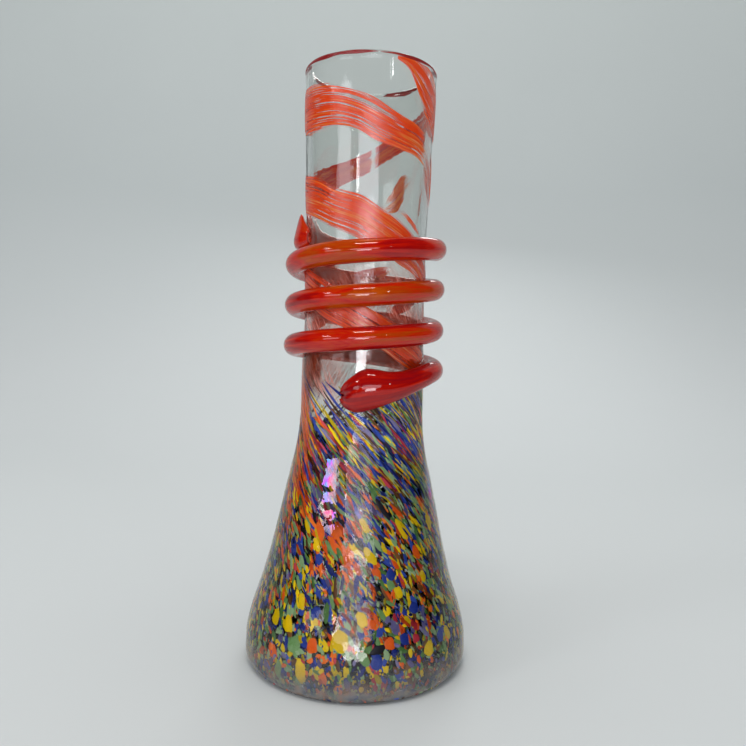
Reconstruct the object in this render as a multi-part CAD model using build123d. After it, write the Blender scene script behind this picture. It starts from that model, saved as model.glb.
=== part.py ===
from build123d import *
import math
import os
import random

# A free-standing art-glass vase: a blown clear vessel with a bell-shaped base, a tall open neck, coloured
# frit chips and drawn streaks fused to its outside, orange ribbons twisted round the neck, and a
# hot-applied glass trail that winds up the neck from a flattened gob to a drawn-out tip.
# Frame: millimetres, +Z up, origin on the table plane at the centre of the foot. The front faces -Y.
# Azimuths are in degrees from the front (-Y) towards +X, so they grow anticlockwise seen from above.

# ---- Driving dimensions -------------------------------------------------------------------------------
HEIGHT = 220.0
FOOT_RADIUS = 38.6            # outer edge of the ground foot ring
FOOT_INNER_RADIUS = 27.0      # where the underside starts to rise
PUNT_RISE = 2.0               # height of the underside's shallow dome
HEEL_TOP = 6.0                # height of the widest ring
LIP_RADIUS = 1.25             # fire-polished lip, half the wall thickness there
WALL_NECK = 2.5
WALL_FLARE = 3.2
FLOOR_THICKNESS = 7.0         # glass under the inside floor
FLOOR_CORNER = 7.0            # height over which the inside floor turns into the wall
CHIP_THICKNESS = 0.5
RIBBON_THICKNESS = 0.4
SEAT_GAP = 0.06               # chips, ribbons and threads stand this far off the wall they are fused to
TRAIL_SEAT = 0.5              # the trail lies on the ribbons, this far off the wall
BAND_STEP = 12.0              # azimuth between the sections of a ribbon

# Height and outside radius of the clear wall, from the widest ring to the lip.
WALL_POINTS = [
    (6.0, 41.6), (13.0, 41.1), (21.0, 39.2), (30.0, 36.2), (42.0, 32.9), (56.0, 29.7), (70.0, 26.5),
    (80.0, 24.3), (90.0, 23.1), (105.0, 22.7), (140.0, 22.25), (170.0, 22.7), (200.0, 23.7), (220.0, 24.3),
]

# Trail: a right-handed helix of round section, with a flattened gob at its lower end and a drawn tip.
TRAIL_RADIUS = 4.05           # radius of the trail's round section
TRAIL_SINK = 0.5              # how much of that section is flattened against the wall
TRAIL_PITCH = 15.0
TRAIL_LEVEL_Z = 118.4         # height at the left side (azimuth 270) of the lowest full turn
TRAIL_FIRST, TRAIL_LAST = 67.5, 1170.0   # azimuths between which the section is regular
TRAIL_STEP = 22.5             # azimuth between sections

# Ends of the trail: azimuth, height, how far the section's middle is off the wall, half depth, half height
# and, in the drop at the tip, how far the fullest point lies below the middle.
TRAIL_GOB = [
    (-16.5, 102.0, 0.2, 0.9, 1.8, 0), (-13.5, 102.2, 0.7, 2.3, 4.0, 0), (-8.5, 102.7, 1.2, 3.6, 6.0, 0),
    (-2, 103.6, 1.7, 4.3, 7.2, 0), (5, 104.5, 2.0, 4.6, 7.4, 0), (12, 104.9, 2.4, 4.6, 6.8, 0),
    (22, 105.4, 2.9, 4.4, 5.6, 0), (35, 106.6, 3.3, 4.2, 4.7, 0), (50, 108.4, 3.5, 4.1, 4.15, 0),
]
TRAIL_TIP = [
    (1195, 156.9, 3.3, 3.8, 3.7, 0), (1225, 157.9, 2.9, 3.3, 3.1, 0), (1260, 158.6, 2.6, 2.9, 2.6, 0),
    (1290, 159.2, 2.4, 2.7, 2.5, 0), (1312, 160.0, 2.3, 2.7, 3.2, 0.5), (1330, 160.8, 2.2, 2.9, 4.9, 1.7),
    (1345, 161.3, 2.0, 3.0, 6.6, 3.0), (1355, 161.0, 1.7, 2.8, 6.4, 3.0), (1364, 159.6, 1.3, 2.2, 5.0, 2.0),
    (1371, 158.5, 0.6, 1.5, 3.6, 0.8), (1375, 158.0, 0.2, 0.8, 1.8, 0),
]

# Ribbons and drawn threads, each a list of stations: azimuth, height of its middle, half width up the wall.
BANDS = {
    "ribbon_long": [[
        (22, 218, 0.5), (34, 216.4, 1.9), (45, 213, 5.2), (56, 209.6, 8.2), (68, 206.8, 9.8),
        (82, 204, 9.6), (98, 202.6, 7.6), (120, 202.4, 5.4), (150, 199.6, 4.4),
        (180, 193, 4.2), (210, 187, 4.6), (235, 181.5, 6.2), (265, 176, 7.6), (290, 173, 7.8),
        (312, 170.5, 7.4), (330, 167.5, 7.2), (355, 164, 7.6), (373, 160, 7.6), (391, 156, 7.2),
        (408, 152.5, 6.8), (430, 147, 6), (465, 140, 4.6), (500, 134, 2.6), (520, 131, 0.8),
    ]],
    "ribbon_upper": [[
        (-112, 206, 0.8), (-98, 204.5, 6), (-72, 203.2, 8.2), (-44, 202.6, 7.9), (-27, 201.8, 6.6),
        (-10, 199.8, 6.2), (6, 196.8, 6.6), (19, 194.6, 6.2), (31, 193, 5.7), (45, 191.6, 5.3),
        (60, 188.8, 5.4), (76, 183.5, 6), (90, 177.5, 5), (104, 170, 2.8), (114, 164.5, 0.8),
    ]],
    "ribbon_lower": [[
        (-150, 151, 0.8), (-125, 148, 4.6), (-95, 144, 6.4), (-60, 139.5, 6.6), (-30, 134, 6.4),
        (0, 128, 5.4), (35, 120.5, 6.2), (70, 113.5, 5.6), (105, 108, 3.6), (135, 104, 0.8),
    ]],
    "ribbon_shoulder": [[
        (-130, 121, 0.8), (-112, 115.5, 6), (-95, 110.5, 9.5), (-78, 103, 12), (-64, 95, 12),
        (-52, 86, 8), (-44, 79, 4), (-38, 74.5, 0.8),
    ]],
    "ribbon_back": [[
        (150, 150, 0.8), (175, 145.5, 4.6), (205, 139.5, 6.4), (235, 132.5, 6.2), (262, 126.5, 3),
        (280, 122.5, 0.8),
    ]],
    "feather_back": [[
        (128, 184.5, 0.6), (135, 182.4, 4.2), (143, 179.8, 6.4), (151, 177.2, 5), (159, 175, 2.4),
        (166, 173, 0.6),
    ]],
    "strand_right": [[(24, 167.4, 0.4), (34, 166, 1), (44, 163.6, 1), (56, 160, 1), (66, 156.6, 0.4)]],
    "lip_streak": [
        [
            (-135, 217.6, 0.4), (-105, 217.6, 0.9), (-66, 217.6, 1), (-28, 217.6, 1), (0, 217.7, 0.8),
            (18, 217.8, 0.4),
        ],
        [(124, 217.6, 0.4), (140, 217.4, 1.1), (156, 217.5, 0.9), (168, 217.6, 0.4)],
    ],
    "threads_cobalt": [
        [(-38, 106, 0.3), (-30, 102.4, 0.6), (-20, 98, 0.6), (-12, 94.6, 0.3)],
        [(-34, 100, 0.3), (-26, 96.4, 0.7), (-16, 92, 0.7), (-8, 88.5, 0.3)],
        [(20, 96, 0.3), (28, 92.2, 0.9), (38, 87.5, 0.9), (46, 83.5, 0.3)],
    ],
    "threads_yellow": [
        [(-38, 98, 0.3), (-28, 93.3, 0.8), (-16, 87.8, 0.9), (-6, 83, 0.3)],
        [(46, 102, 0.3), (54, 98, 0.8), (64, 93, 0.8), (72, 89, 0.3)],
    ],
    "threads_amber": [
        [(-36, 103, 0.3), (-28, 99.4, 0.6), (-18, 95, 0.6), (-10, 91.4, 0.3)],
        [(34, 99, 0.3), (42, 95, 0.8), (52, 90, 0.8), (60, 86, 0.3)],
        [(96, 104, 0.3), (106, 99, 0.9), (118, 93, 0.9), (128, 88, 0.3)],
    ],
}

# Frit
CHIP_COUNT = 1500
CHIP_GAP = 0.28               # width of the groove between neighbouring chips
CHIP_LOW, CHIP_HIGH = 3.2, 121.0
CHIP_MIN_AREA = 10.0          # no chip smaller than this, in square millimetres
FOOT_MARGIN = 0.7             # bare height above the widest ring
CHIP_SEED = 11
GOLDEN_1, GOLDEN_2 = 0.7548776662466927, 0.5698402909980532   # two-dimensional golden ratio steps

CHIP_COLOURS = [              # node name and share of the chips
    ("chips_cobalt", 0.21), ("chips_sage", 0.21), ("chips_yellow", 0.16), ("chips_orange", 0.13),
    ("chips_black", 0.10), ("chips_lilac", 0.07), ("chips_crimson", 0.05), ("chips_amber", 0.07),
]


# ---- Shape of the clear wall --------------------------------------------------------------------------
def wall_slopes():
    """Slope dr/dz at each wall point, by central differences."""
    slopes = []
    for i in range(len(WALL_POINTS)):
        low = WALL_POINTS[max(i - 1, 0)]
        high = WALL_POINTS[min(i + 1, len(WALL_POINTS) - 1)]
        slopes.append((high[1] - low[1]) / (high[0] - low[0]))
    return slopes


WALL_SLOPES = wall_slopes()


def wall_radius(z):
    """Outside radius of the clear wall at height z: a cubic between the wall points."""
    z = min(max(z, WALL_POINTS[0][0]), WALL_POINTS[-1][0])
    i = 0
    while i < len(WALL_POINTS) - 2 and z > WALL_POINTS[i + 1][0]:
        i += 1
    (z0, r0), (z1, r1) = WALL_POINTS[i], WALL_POINTS[i + 1]
    step = z1 - z0
    t = (z - z0) / step
    rise = (1 + 2 * t) * (1 - t) ** 2 * r0 + t * t * (3 - 2 * t) * r1
    bend = t * (1 - t) ** 2 * WALL_SLOPES[i] - t * t * (1 - t) * WALL_SLOPES[i + 1]
    return rise + bend * step


def wall_slope(z, reach=0.5):
    return (wall_radius(z + reach) - wall_radius(z - reach)) / (2 * reach)


def wall_thickness(z):
    """Glass thickness, thicker towards the base."""
    share = min(max((HEIGHT - 100 - z) / 60, 0), 1)
    return WALL_NECK + (WALL_FLARE - WALL_NECK) * share


def profile_point(radius, z):
    return (radius, 0, z)


def outside_spline(offset, low, high, count):
    """The wall's outside line, moved out by offset, from height low to height high."""
    heights = [low + (high - low) * i / (count - 1) for i in range(count)]
    return Spline(*[profile_point(wall_radius(z) + offset, z) for z in heights])


def point_at(azimuth, radius, z):
    """Row-frame point at an azimuth measured from the front."""
    a = math.radians(azimuth)
    return Vector(radius * math.sin(a), -radius * math.cos(a), z)


# ---- Clear vessel -------------------------------------------------------------------------------------
def make_vessel():
    lip_z = HEIGHT - LIP_RADIUS
    lip_out = wall_radius(lip_z)
    inside_low = FLOOR_THICKNESS + FLOOR_CORNER
    inside_heights = [lip_z, 190, 160, 130, 105, 88, 72, 56, 42, 30, 21, inside_low]
    inside = [profile_point(wall_radius(z) - wall_thickness(z), z) for z in inside_heights]
    inside[0] = profile_point(lip_out - 2 * LIP_RADIUS, lip_z)
    corner_radius = inside[-1][0]

    foot = Line(profile_point(FOOT_INNER_RADIUS, 0), profile_point(FOOT_RADIUS, 0))
    heel = ThreePointArc(
        foot @ 1,
        profile_point(FOOT_RADIUS + 0.8 * (wall_radius(HEEL_TOP) - FOOT_RADIUS), 0.38 * HEEL_TOP),
        profile_point(wall_radius(HEEL_TOP), HEEL_TOP),
    )
    outside = outside_spline(0, HEEL_TOP, lip_z, 34)
    lip = ThreePointArc(outside @ 1, profile_point(lip_out - LIP_RADIUS, HEIGHT), inside[0])
    cavity = Spline(*inside)
    floor_corner = ThreePointArc(
        cavity @ 1,
        profile_point(corner_radius - 0.22 * FLOOR_CORNER, FLOOR_THICKNESS + 0.3 * FLOOR_CORNER),
        profile_point(corner_radius - 1.1 * FLOOR_CORNER, FLOOR_THICKNESS),
    )
    floor = Line(floor_corner @ 1, profile_point(0, FLOOR_THICKNESS))
    axis = Line(floor @ 1, profile_point(0, PUNT_RISE))
    half_punt = 0.5 * FOOT_INNER_RADIUS
    punt = ThreePointArc(axis @ 1, profile_point(half_punt, 0.75 * PUNT_RISE), foot @ 0)
    outline = Wire([foot, heel, outside, lip, cavity, floor_corner, floor, axis, punt])
    return revolve(Face(outline), Axis.Z)


# ---- Applied trail ------------------------------------------------------------------------------------
def trail_section(azimuth, z, off_wall, half_depth, half_height, droop):
    """An oval glass section, flattened where it lies on the ribbons, in the upright plane at an azimuth."""
    seat = wall_radius(z) + TRAIL_SEAT
    outside = max(off_wall + half_depth - TRAIL_SEAT, 0.8)
    cut = min(max((off_wall - TRAIL_SEAT) / half_depth, -0.6), 0.9)
    half_seat = half_height * math.sqrt(1 - cut * cut)
    lean = wall_slope(z) * half_seat
    middle = wall_radius(z) + off_wall if cut > 0 else seat + 0.3 * outside
    side = half_height if cut > 0 else 0.9 * half_seat
    low_side = point_at(azimuth, middle, z - side)
    high_side = point_at(azimuth, middle - 0.3 * droop, z + side - 0.9 * droop)
    low, high = point_at(azimuth, seat - lean, z - half_seat), point_at(azimuth, seat + lean, z + half_seat)
    top = point_at(azimuth, seat + outside, z - droop)
    return Face(Wire([Spline(low, low_side, top, high_side, high), Line(high, low)]))


def trail_stations():
    """Every section of the trail from the gob to the tip."""
    off_wall = TRAIL_RADIUS - TRAIL_SINK
    count = round((TRAIL_LAST - TRAIL_FIRST) / TRAIL_STEP)
    regular = []
    for i in range(count + 1):
        azimuth = TRAIL_FIRST + i * TRAIL_STEP
        z = TRAIL_LEVEL_Z + TRAIL_PITCH * (azimuth - 270) / 360
        regular.append((azimuth, z, off_wall, TRAIL_RADIUS, TRAIL_RADIUS, 0))
    return TRAIL_GOB + regular + TRAIL_TIP


def make_trail():
    return loft([trail_section(*station) for station in trail_stations()])


# ---- Ribbons and threads ------------------------------------------------------------------------------
def band_section(azimuth, z, half_width):
    """An upright slice across a band, which follows the wall."""
    inner, outer = SEAT_GAP, SEAT_GAP + RIBBON_THICKNESS
    low, high = z - half_width, z + half_width
    corners = [
        point_at(azimuth, wall_radius(low) + inner, low), point_at(azimuth, wall_radius(low) + outer, low),
        point_at(azimuth, wall_radius(high) + outer, high), point_at(azimuth, wall_radius(high) + inner, high),
    ]
    return Face(Wire(Polyline(*corners, close=True)))


def make_band(stations):
    """A ribbon or thread, from evenly spaced sections between its stations."""
    first, last = stations[0][0], stations[-1][0]
    count = max(round((last - first) / BAND_STEP), 3)
    sections = []
    for i in range(count + 1):
        azimuth = first + (last - first) * i / count
        sections.append(band_section(azimuth, *station_at(stations, azimuth)))
    solid = loft(sections)
    return solid if solid.volume > 0 else loft(sections[::-1])


def station_at(stations, azimuth):
    """Height and half width of a band at an azimuth, or None where the band isn't."""
    for (a0, z0, w0), (a1, z1, w1) in zip(stations, stations[1:]):
        if a0 <= azimuth <= a1:
            t = (azimuth - a0) / (a1 - a0)
            return z0 + t * (z1 - z0), w0 + t * (w1 - w0)
    return None


def keep_clear():
    """Bands that chips leave free: ribbons, threads and the trail's footprint."""
    strands = [stations for group in BANDS.values() for stations in group]
    strands.append([(azimuth, z, half_height) for azimuth, z, _, _, half_height, _ in trail_stations()])
    return strands


def is_clear(strands, azimuth, z, margin=0.6):
    for stations in strands:
        for turn in (-360, 0, 360, 720, 1080):
            found = station_at(stations, azimuth + turn)
            if found and abs(z - found[0]) < found[1] + margin:
                return False
    return True


# ---- Frit chips and drawn streaks ---------------------------------------------------------------------
def drawn_out(z):
    """How far the twist has drawn the frit out at height z, from 0 at the base to 1 at the shoulder."""
    return min(max((z - 10) / 92, 0), 1)


def chip_stretch(z):
    return 1.25 * 6.4 ** drawn_out(z)


def chip_lean(z):
    """Angle of the streaks from the wall's upright line, in radians: they fall towards +azimuth."""
    return math.radians(14 + 33 * drawn_out(z) ** 0.8)


def chip_size(z):
    """Typical radius of a chip, in millimetres, before it is drawn out."""
    return 2.15 - 0.5 * drawn_out(z)


def chip_chance(azimuth, z):
    """Share of the chips that are there: all of them on the bell, few on the neck."""
    fade = min(max((z - 88) / 34, 0), 1)
    window = math.exp(-(((azimuth + 24) / 11) ** 2) - ((z - 92) / 9) ** 2)
    return (1 - fade) ** 1.3 * (1 - 0.85 * window)


def scatter_chips():
    """Seeds spread evenly over the bell: azimuth, height and weight, lowest first."""
    rng = random.Random(CHIP_SEED)
    seeds = []
    for i in range(CHIP_COUNT):
        share = (i * GOLDEN_2) % 1.0
        z = CHIP_LOW + (CHIP_HIGH - CHIP_LOW) * share**1.12
        z = min(max(z + rng.uniform(-1.6, 1.6), CHIP_LOW), CHIP_HIGH)
        azimuth = 360 * ((i * GOLDEN_1) % 1.0) + rng.uniform(-4.0, 4.0)
        weight = chip_size(z) * (0.55 + 1.1 * rng.random() ** 2.2)
        seeds.append(((azimuth + 180) % 360 - 180, z, weight))
    return sorted(seeds, key=lambda seed: seed[1])


def local_offset(seed, other):
    """Where another seed lies on the wall: along the streak and across it, the streak shortened."""
    azimuth, z, _ = seed
    turn = (other[0] - azimuth + 180) % 360 - 180
    across = math.radians(turn) * wall_radius(0.5 * (z + other[1]))
    up = (other[1] - z) * math.hypot(1, wall_slope(z))
    lean, stretch = chip_lean(z), math.sqrt(chip_stretch(z))
    along = -across * math.sin(lean) + up * math.cos(lean)
    aside = across * math.cos(lean) + up * math.sin(lean)
    return along / stretch, aside * stretch


def clip(outline, normal, reach):
    """The part of an outline on the near side of a line."""
    kept = []
    for i, end in enumerate(outline):
        start = outline[i - 1]
        from_start = start[0] * normal[0] + start[1] * normal[1] - reach
        from_end = end[0] * normal[0] + end[1] * normal[1] - reach
        if (from_start > 0) != (from_end > 0):
            t = from_start / (from_start - from_end)
            kept.append((start[0] + t * (end[0] - start[0]), start[1] + t * (end[1] - start[1])))
        if from_end <= 0:
            kept.append(end)
    return kept


def chip_outline(seeds, index):
    """Corners of a chip as (across, up) on the wall, in millimetres from its seed."""
    seed = seeds[index]
    reach = 2.2 * chip_size(seed[1])
    outline = [(reach * math.cos(a * math.pi / 4), reach * math.sin(a * math.pi / 4)) for a in range(8)]
    window = 3.3 * reach * math.sqrt(chip_stretch(seed[1]))
    for step in (-1, 1):
        other = index + step
        while 0 <= other < len(seeds) and abs(seeds[other][1] - seed[1]) < window:
            along, aside = local_offset(seed, seeds[other])
            distance = math.hypot(along, aside)
            if 1e-6 < distance < 2.5 * reach:
                shift = (seed[2] ** 2 - seeds[other][2] ** 2) / (2 * distance)
                limit = 0.5 * distance + shift - 0.5 * CHIP_GAP
                outline = clip(outline, (along / distance, aside / distance), limit)
                if len(outline) < 3:
                    return []
            other += step
    lean, stretch = chip_lean(seed[1]), math.sqrt(chip_stretch(seed[1]))
    corners = []
    for along, aside in outline:
        along, aside = along * stretch, aside / stretch
        across = -along * math.sin(lean) + aside * math.cos(lean)
        up = along * math.cos(lean) + aside * math.sin(lean)
        corners.append((across, up))
    return corners


def outline_area(corners):
    total = 0
    for i, (x, y) in enumerate(corners):
        total += corners[i - 1][0] * y - x * corners[i - 1][1]
    return 0.5 * abs(total)


def chip_colour(azimuth, z, draw):
    """Node name for a chip: an even mix, with more orange on the left of the shoulder."""
    warm = math.exp(-(((azimuth + 62) / 34) ** 2) - ((z - 82) / 26) ** 2)
    shares = [(name, share * (1 + 4 * warm * (name in ("chips_orange", "chips_crimson"))))
              for name, share in CHIP_COLOURS]
    total = sum(share for _, share in shares)
    for name, share in shares:
        draw -= share / total
        if draw <= 0:
            return name
    return shares[-1][0]


def chip_solid(azimuth, z, corners):
    """One chip: a flat facetted plate, square to the wall."""
    a = math.radians(azimuth)
    across = Vector(math.cos(a), math.sin(a), 0)
    out = Vector(math.sin(a), -math.cos(a), -wall_slope(z)).normalized()
    up = out.cross(across)
    centre = point_at(azimuth, wall_radius(z), z) + out * SEAT_GAP
    outline = Polyline(*[centre + across * x + up * y for x, y in corners], close=True)
    return Solid.extrude(Face(Wire(outline)), out * CHIP_THICKNESS)


def chip_is_clear(strands, azimuth, z, corners):
    """Whether a chip's middle, corners and edges keep off ribbons, threads and the trail."""
    across_to_azimuth = 180 / (math.pi * wall_radius(z))
    rise = 1 / math.hypot(1, wall_slope(z))
    spots = [(0, 0)] + corners
    for i, (x, y) in enumerate(corners):
        spots.append((0.5 * (x + corners[i - 1][0]), 0.5 * (y + corners[i - 1][1])))
    return all(is_clear(strands, azimuth + x * across_to_azimuth, z + y * rise) for x, y in spots)


def make_chips():
    seeds = scatter_chips()
    strands = keep_clear()
    rng = random.Random(CHIP_SEED + 1)
    chips = {name: [] for name, _ in CHIP_COLOURS}
    for index, (azimuth, z, _) in enumerate(seeds):
        present, draw = rng.random(), rng.random()
        if present > chip_chance(azimuth, z):
            continue
        corners = chip_outline(seeds, index)
        lowest = z + min((y for _, y in corners), default=0)
        if outline_area(corners) < CHIP_MIN_AREA or lowest < HEEL_TOP + FOOT_MARGIN:
            continue
        if chip_is_clear(strands, azimuth, z, corners):
            chips[chip_colour(azimuth, z, draw)].append(chip_solid(azimuth, z, corners))
    return chips


# ---- Write one file per sub-part ----------------------------------------------------------------------
def main():
    os.makedirs("parts", exist_ok=True)
    export_step(make_vessel(), "parts/vessel_wall.step")
    export_step(make_trail(), "parts/wrapped_trail.step")
    for name, strands in BANDS.items():
        export_step(Compound(children=[make_band(stations) for stations in strands]), f"parts/{name}.step")
    for name, solids in make_chips().items():
        export_step(Compound(children=solids), f"parts/{name}.step")


main()
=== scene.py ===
"""Looks for a hand-blown art-glass vase: clear vessel, bell covered in frit, twisted ribbons, applied trail.

Lengths named here are millimetres and become metres in place(). Azimuths are degrees from the front (-Y)
towards +X, as in the part's own source.
"""

import bpy
import random
from math import acos, cos, degrees, dist, exp, hypot, pi, radians, sin, sqrt
from mathutils import Matrix, Vector, noise


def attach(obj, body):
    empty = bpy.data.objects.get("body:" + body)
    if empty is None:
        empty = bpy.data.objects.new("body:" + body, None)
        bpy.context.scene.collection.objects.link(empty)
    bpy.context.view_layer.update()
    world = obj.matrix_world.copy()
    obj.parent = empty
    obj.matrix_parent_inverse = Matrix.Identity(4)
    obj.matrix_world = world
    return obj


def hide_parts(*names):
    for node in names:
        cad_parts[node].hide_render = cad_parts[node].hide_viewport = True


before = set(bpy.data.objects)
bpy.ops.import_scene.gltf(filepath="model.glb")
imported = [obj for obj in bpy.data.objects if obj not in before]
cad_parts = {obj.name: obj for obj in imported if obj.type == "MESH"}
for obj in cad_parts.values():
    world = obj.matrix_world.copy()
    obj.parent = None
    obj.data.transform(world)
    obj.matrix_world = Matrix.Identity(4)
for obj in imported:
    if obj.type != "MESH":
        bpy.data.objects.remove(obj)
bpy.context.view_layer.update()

MM = 0.001
BODY = "root"

# ---- Shape shared with the CAD part ----
HEIGHT = 220.0
FOOT_RADIUS = 38.6
FOOT_INNER_RADIUS = 27.0
PUNT_RISE = 2.0
HEEL_TOP = 6.0
LIP_RADIUS = 1.25
LIP_BLEND = 12      # depth over which the wall comes to the lip's thickness
WALL_NECK, WALL_FLARE = 2.5, 3.2
FLOOR_THICKNESS, FLOOR_CORNER = 7.0, 7.0
WALL_POINTS = [
    (6, 41.6), (13, 41.1), (21, 39.2), (30, 36.2), (42, 32.9), (56, 29.7), (70, 26.5),
    (80, 24.3), (90, 23.1), (105, 22.7), (140, 22.25), (170, 22.7), (200, 23.7), (220, 24.3),
]
THICK_BELOW, THICK_OVER = 120.0, 60.0   # the wall thickens below this height, over this much of it
TRAIL_RADIUS, TRAIL_SINK = 4.05, 0.5
TRAIL_PITCH, TRAIL_LEVEL_Z = 15.0, 118.4


def unit(value):
    """The value, held between 0 and 1."""
    return min(max(value, 0), 1)


def wall_slopes():
    slopes = []
    for i in range(len(WALL_POINTS)):
        low = WALL_POINTS[max(i - 1, 0)]
        high = WALL_POINTS[min(i + 1, len(WALL_POINTS) - 1)]
        slopes.append((high[1] - low[1]) / (high[0] - low[0]))
    return slopes


WALL_SLOPES = wall_slopes()


def wall_radius(z):
    """Outside radius of the clear wall at height z."""
    z = min(max(z, WALL_POINTS[0][0]), WALL_POINTS[-1][0])
    i = 0
    while i < len(WALL_POINTS) - 2 and z > WALL_POINTS[i + 1][0]:
        i += 1
    (z0, r0), (z1, r1) = WALL_POINTS[i], WALL_POINTS[i + 1]
    step = z1 - z0
    t = (z - z0) / step
    rise = (1 + 2 * t) * (1 - t) ** 2 * r0 + t * t * (3 - 2 * t) * r1
    bend = t * (1 - t) ** 2 * WALL_SLOPES[i] - t * t * (1 - t) * WALL_SLOPES[i + 1]
    return rise + bend * step


def wall_slope(z, reach=0.5):
    return (wall_radius(z + reach) - wall_radius(z - reach)) / (2 * reach)


def wall_thickness(z):
    return WALL_NECK + (WALL_FLARE - WALL_NECK) * unit((THICK_BELOW - z) / THICK_OVER)


def wobble(azimuth, z):
    """Unevenness of hand-blown glass: how far the wall strays from true, in millimetres."""
    a = radians(azimuth)
    fade = min(z / 30, 1) * min((HEIGHT - z) / 12 + 0.4, 1)
    long_wave = 0.13 * sin(2 * a + 0.8 + z / 38) + 0.07 * sin(3 * a + 2.1 - z / 21)
    return fade * (long_wave + 0.04 * sin(5 * a + z / 9))


def place(azimuth, radius, z):
    """Blender point, in metres, at an azimuth, radius and height."""
    a = radians(azimuth)
    return Vector((radius * sin(a), -radius * cos(a), z)) * MM


def outside_radius(z):
    """Outside radius of the vessel down to the table, round the heel."""
    if z >= HEEL_TOP:
        return wall_radius(z)
    reach = wall_radius(HEEL_TOP) - FOOT_RADIUS
    return FOOT_RADIUS + reach * sin(acos(1 - max(z, 0) / HEEL_TOP))


def on_wall(azimuth, z, lift=0.0):
    """Point on the outside of the wall, moved out by lift."""
    return place(azimuth, outside_radius(z) + wobble(azimuth, z) + lift, z)


def value_at(pairs, x):
    """Value on straight lines between (x, value) pairs."""
    for (x0, v0), (x1, v1) in zip(pairs, pairs[1:]):
        if x <= x1:
            return v0 + (v1 - v0) * unit((x - x0) / (x1 - x0))
    return pairs[-1][1]


def ripple(x, y, z):
    """Smooth noise, from about -1 to 1."""
    return noise.noise(Vector((x, y, z)))


def bell_curve(value, middle, width):
    """1 at the middle, falling smoothly to 0 over about two widths."""
    return exp(-(((value - middle) / width) ** 2))


def smooth_stations(stations, count):
    """Points evenly spread along stations, on a Catmull-Rom curve over the first column."""
    first, last = stations[0][0], stations[-1][0]
    rows = []
    for k in range(count):
        x = first + (last - first) * k / (count - 1)
        i = 0
        while i < len(stations) - 2 and x > stations[i + 1][0]:
            i += 1
        p1, p2 = stations[i], stations[i + 1]
        p0, p3 = stations[max(i - 1, 0)], stations[min(i + 2, len(stations) - 1)]
        span = p2[0] - p1[0]
        t = (x - p1[0]) / span
        t2, t3 = t * t, t * t * t
        row = [x]
        for c in range(1, len(p1)):
            m1 = (p2[c] - p0[c]) / max(p2[0] - p0[0], 1e-6) * span
            m2 = (p3[c] - p1[c]) / max(p3[0] - p1[0], 1e-6) * span
            row.append((2 * t3 - 3 * t2 + 1) * p1[c] + (t3 - 2 * t2 + t) * m1
                       + (3 * t2 - 2 * t3) * p2[c] + (t3 - t2) * m2)
        rows.append(row)
    return rows


# ---- Mesh helpers ----
def add_object(name, data):
    """A new object in the scene, from its mesh, light or camera."""
    made = bpy.data.objects.new(name, data)
    bpy.context.scene.collection.objects.link(made)
    return made


def smooth_mesh(name, vertices, faces, material):
    mesh = bpy.data.meshes.new(name)
    mesh.from_pydata([tuple(v) for v in vertices], [], faces)
    mesh.materials.append(material)
    mesh.polygons.foreach_set("use_smooth", [True] * len(mesh.polygons))
    return mesh


def make_piece(name, vertices, faces, material, nodes=(), uvs=None, tints=None):
    """A smooth mesh piece that rides on the vase. uvs is one pair per vertex; tints one number per vertex."""
    mesh = smooth_mesh(name, vertices, faces, material)
    if uvs is not None:
        layer = mesh.uv_layers.new(name="flow")
        for loop in mesh.loops:
            layer.data[loop.index].uv = uvs[loop.vertex_index]
    if tints is not None:
        layer = mesh.attributes.new("tint", "FLOAT", "POINT")
        layer.data.foreach_set("value", tints)
    mesh.update()
    piece = add_object(name, mesh)
    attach(piece, BODY)
    if nodes:
        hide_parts(*nodes)
    return piece


def grid_faces(rows, columns, closed, start=0):
    """Quads of a grid of vertices, rows by columns, joined round the columns if closed."""
    faces = []
    span = columns if closed else columns - 1
    for i in range(rows - 1):
        low, high = start + i * columns, start + (i + 1) * columns
        for j in range(span):
            k = (j + 1) % columns
            faces.append((low + j, low + k, high + k, high + j))
    return faces


# ---- Materials ----
RIBBON_GLOW, TRAIL_GLOW = 0.4, 0.22   # share of the light that comes through from behind
TRAIL_CLARITY = 0.10                  # share of the trail that is seen straight through


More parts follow.
